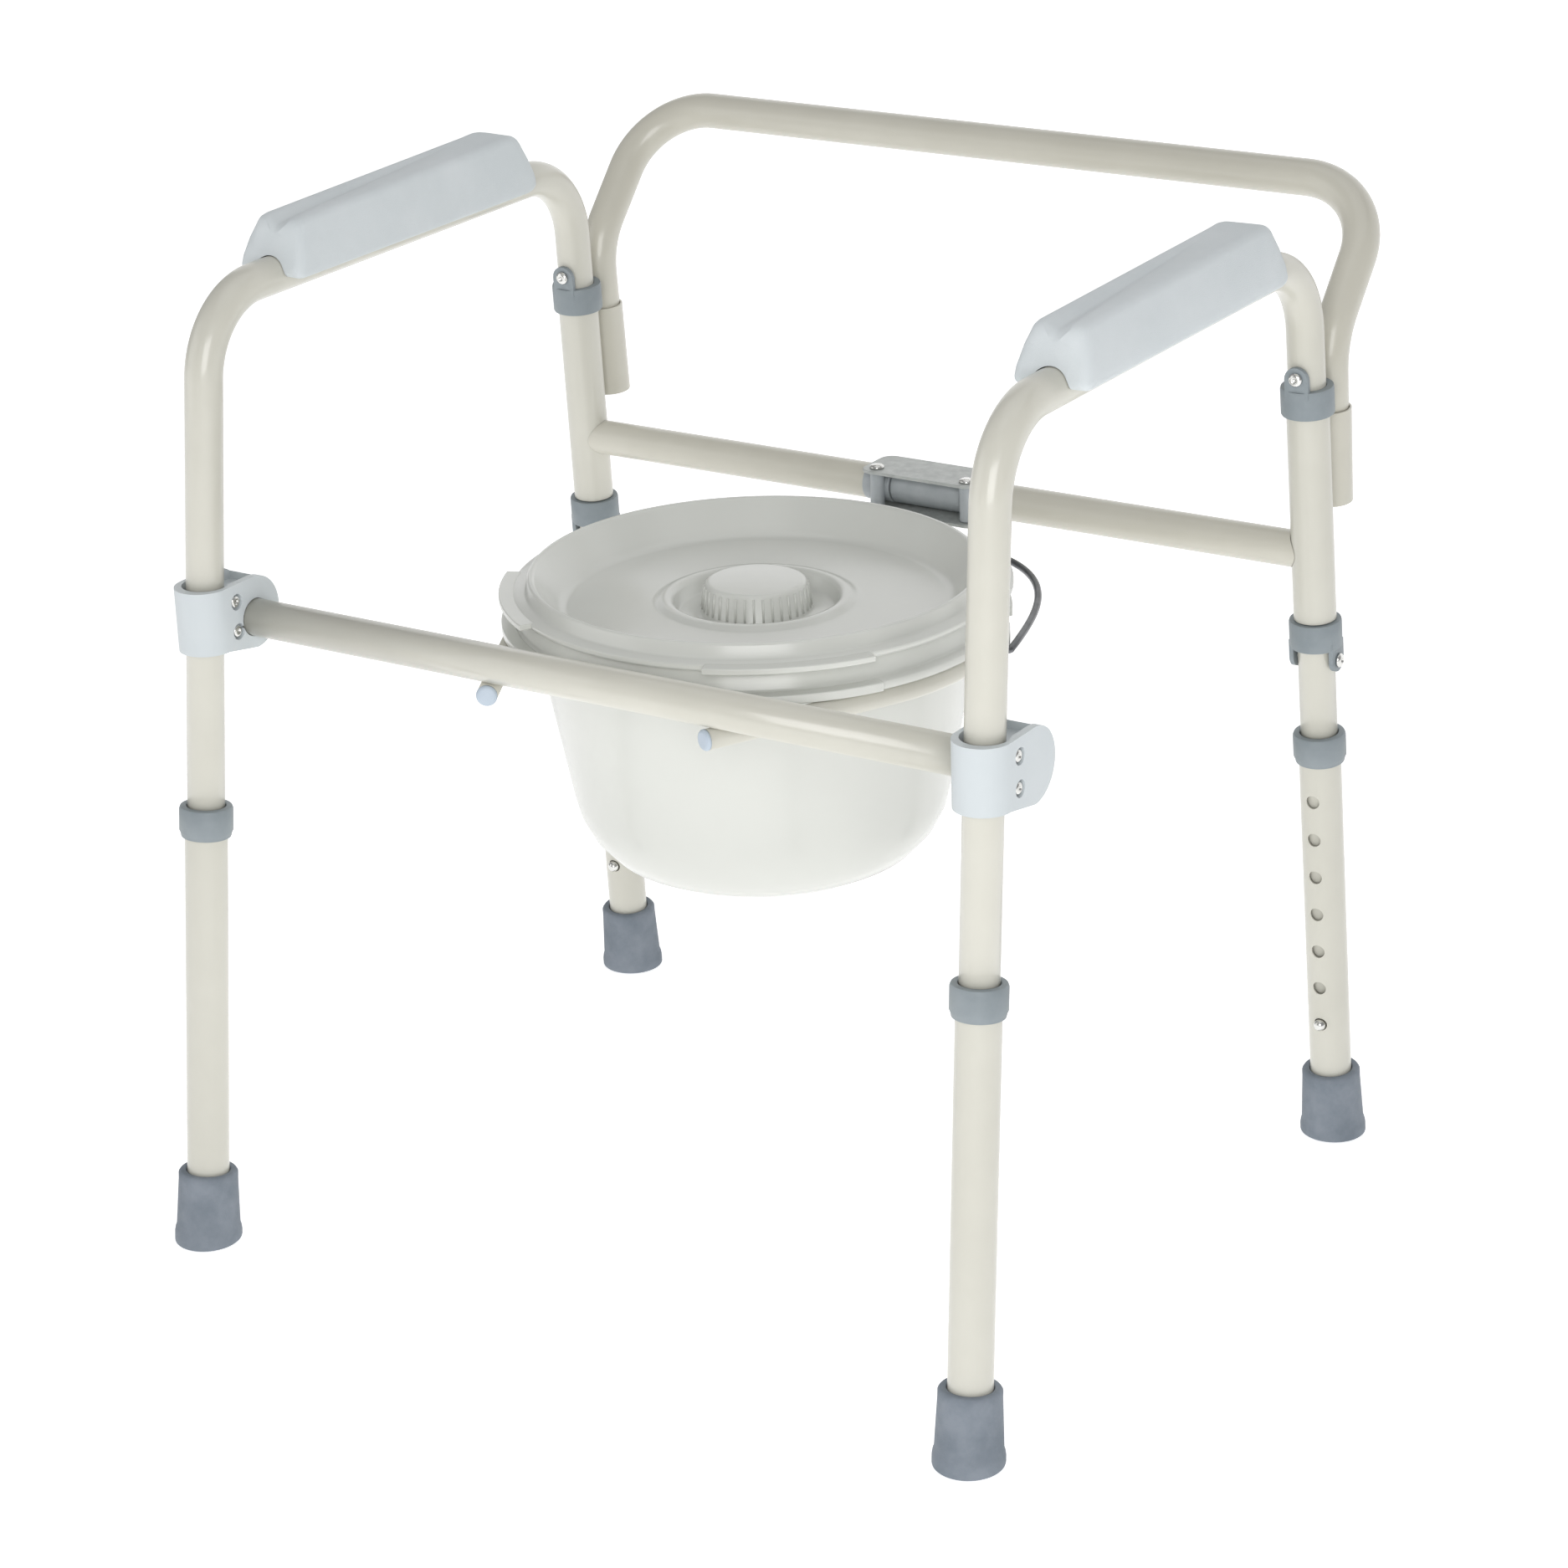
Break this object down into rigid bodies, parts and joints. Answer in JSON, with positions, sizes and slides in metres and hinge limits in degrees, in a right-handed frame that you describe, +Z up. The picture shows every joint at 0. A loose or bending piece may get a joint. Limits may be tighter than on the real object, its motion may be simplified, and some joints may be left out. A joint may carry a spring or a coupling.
{
  "type": "toilet safety frame",
  "caption": "Folding over-toilet safety frame with padded arched side frames, plug-in back rail, height-adjustable legs and a lidded pail hung from a front hoop.",
  "frame": {"origin": "on the floor, in the middle of the footprint's bounding box", "axes": "+X towards the right side frame as seen from the front, +Y from the front crossbar towards the back rail, +Z up"},
  "size_m": [0.5734, 0.5474, 0.6103],
  "materials": {
    "paint": "gloss warm light grey powder coat on steel tube",
    "pad": "fine-grained pale grey moulded armrest",
    "clamp": "white moulded plastic",
    "collar": "mid grey moulded plastic",
    "foot": "blue-grey rubber",
    "pail": "glossy pale warm grey polypropylene",
    "zinc": "galvanised sheet",
    "screw": "bright zinc-plated steel",
    "wire": "dark steel wire",
    "plug": "blue-grey moulded plug"
  },
  "bodies": {
    "front_frame": {"front_crossbar": "paint", "pail_hoop": "paint", "left_hoop_plug": "plug", "right_hoop_plug": "plug", "left_front_clamp": "clamp", "right_front_clamp": "clamp", "left_clamp_outer_low_screw": "screw", "left_clamp_outer_high_screw": "screw", "left_clamp_inner_low_screw": "screw", "left_clamp_inner_high_screw": "screw", "right_clamp_outer_low_screw": "screw", "right_clamp_outer_high_screw": "screw", "right_clamp_inner_low_screw": "screw", "right_clamp_inner_high_screw": "screw"},
    "left_side_frame": {"left_arch_tube": "paint", "left_arm_pad": "pad", "left_sleeve_top_collar": "collar", "left_sleeve_lower_collar": "collar", "left_top_collar_screw": "screw", "left_lower_collar_bolt": "screw", "front_left_snap_spring": "zinc", "rear_left_snap_spring": "zinc"},
    "right_side_frame": {"right_arch_tube": "paint", "right_arm_pad": "pad", "right_sleeve_top_collar": "collar", "right_sleeve_lower_collar": "collar", "right_top_collar_screw": "screw", "right_lower_collar_bolt": "screw", "front_right_snap_spring": "zinc", "rear_right_snap_spring": "zinc"},
    "front_left_leg": {"front_left_leg_extension": "paint", "front_left_leg_collar": "collar", "front_left_foot": "foot"},
    "front_left_button": {"front_left_snap_button": "screw"},
    "front_right_leg": {"front_right_leg_extension": "paint", "front_right_leg_collar": "collar", "front_right_foot": "foot"},
    "front_right_button": {"front_right_snap_button": "screw"},
    "rear_left_leg": {"rear_left_leg_extension": "paint", "rear_left_leg_collar": "collar", "rear_left_foot": "foot"},
    "rear_left_button": {"rear_left_snap_button": "screw"},
    "rear_right_leg": {"rear_right_leg_extension": "paint", "rear_right_leg_collar": "collar", "rear_right_foot": "foot"},
    "rear_right_button": {"rear_right_snap_button": "screw"},
    "rear_bar": {"left_rear_sleeve": "paint", "left_rear_bar": "paint", "left_rail_socket": "paint", "left_hinge_pin": "screw", "right_rear_sleeve": "paint", "right_rear_bar": "paint", "right_rail_socket": "paint", "right_hinge_pin": "screw", "hinge_bracket": "zinc"},
    "back_rail": {"back_rail": "paint"},
    "pail": {"pail": "pail"},
    "bail": {"pail_bail": "wire"},
    "lid": {"pail_lid": "pail"}
  },
  "joints": [
    {"name": "left_side_fold", "type": "hinge", "parent": "front_frame", "child": "left_side_frame", "pos_m": [-0.25987, -0.21527, 0.384], "axis": [0, -0.0769, 0.997], "range_deg": [-18, 18]},
    {"name": "right_side_fold", "type": "hinge", "parent": "front_frame", "child": "right_side_frame", "pos_m": [0.25987, -0.21527, 0.384], "axis": [0, -0.0769, 0.997], "range_deg": [-18, 18]},
    {"name": "rear_bar_fold", "type": "hinge", "parent": "left_side_frame", "child": "rear_bar", "pos_m": [-0.25938, 0.1738, 0.4132], "axis": [0, -0.0769, 0.997], "range_deg": [-18, 18]},
    {"name": "front_left_leg_slide", "type": "slide", "parent": "left_side_frame", "child": "front_left_leg", "axis": [-0.0169, -0.0985, -0.995], "range_m": [0, 0.1524], "deforming": ["front_left_snap_button"]},
    {"name": "front_left_button_press", "type": "slide", "parent": "left_side_frame", "child": "front_left_button", "axis": [0.0017, -0.9951, 0.0985], "range_m": [0, 0.0045], "stiffness_N_per_m": 300, "deforming": ["front_left_snap_spring"]},
    {"name": "front_right_leg_slide", "type": "slide", "parent": "right_side_frame", "child": "front_right_leg", "axis": [0.0169, -0.0985, -0.995], "range_m": [0, 0.1524], "deforming": ["front_right_snap_button"]},
    {"name": "front_right_button_press", "type": "slide", "parent": "right_side_frame", "child": "front_right_button", "axis": [-0.0017, -0.9951, 0.0985], "range_m": [0, 0.0045], "stiffness_N_per_m": 300, "deforming": ["front_right_snap_spring"]},
    {"name": "rear_left_leg_slide", "type": "slide", "parent": "left_side_frame", "child": "rear_left_leg", "axis": [-0.0169, 0.0769, -0.9969], "range_m": [0, 0.1524], "deforming": ["rear_left_snap_button"]},
    {"name": "rear_left_button_press", "type": "slide", "parent": "left_side_frame", "child": "rear_left_button", "axis": [0.0013, 0.997, 0.0769], "range_m": [0, 0.0045], "stiffness_N_per_m": 300, "deforming": ["rear_left_snap_spring"]},
    {"name": "rear_right_leg_slide", "type": "slide", "parent": "right_side_frame", "child": "rear_right_leg", "axis": [0.0169, 0.0769, -0.9969], "range_m": [0, 0.1524], "deforming": ["rear_right_snap_button"]},
    {"name": "rear_right_button_press", "type": "slide", "parent": "right_side_frame", "child": "rear_right_button", "axis": [-0.0013, 0.997, 0.0769], "range_m": [0, 0.0045], "stiffness_N_per_m": 300, "deforming": ["rear_right_snap_spring"]},
    {"name": "back_rail_lift", "type": "slide", "parent": "rear_bar", "child": "back_rail", "axis": [0, -0.0769, 0.997], "range_m": [0, 0.07]},
    {"name": "pail_lift", "type": "slide", "parent": "front_frame", "child": "pail", "axis": [0, 0, 1], "range_m": [0, 0.16]},
    {"name": "bail_swing", "type": "hinge", "parent": "pail", "child": "bail", "pos_m": [0, -0.02768, 0.3643], "axis": [0.9703, 0.2419, 0], "range_deg": [0, 86]},
    {"name": "lid_lift", "type": "slide", "parent": "pail", "child": "lid", "axis": [0, 0, 1], "range_m": [0, 0.035]}
  ],
  "couplings": [
    {"joint": "right_side_fold", "follows": "left_side_fold", "ratio": 1},
    {"joint": "rear_bar_fold", "follows": "left_side_fold", "ratio": -1}
  ]
}
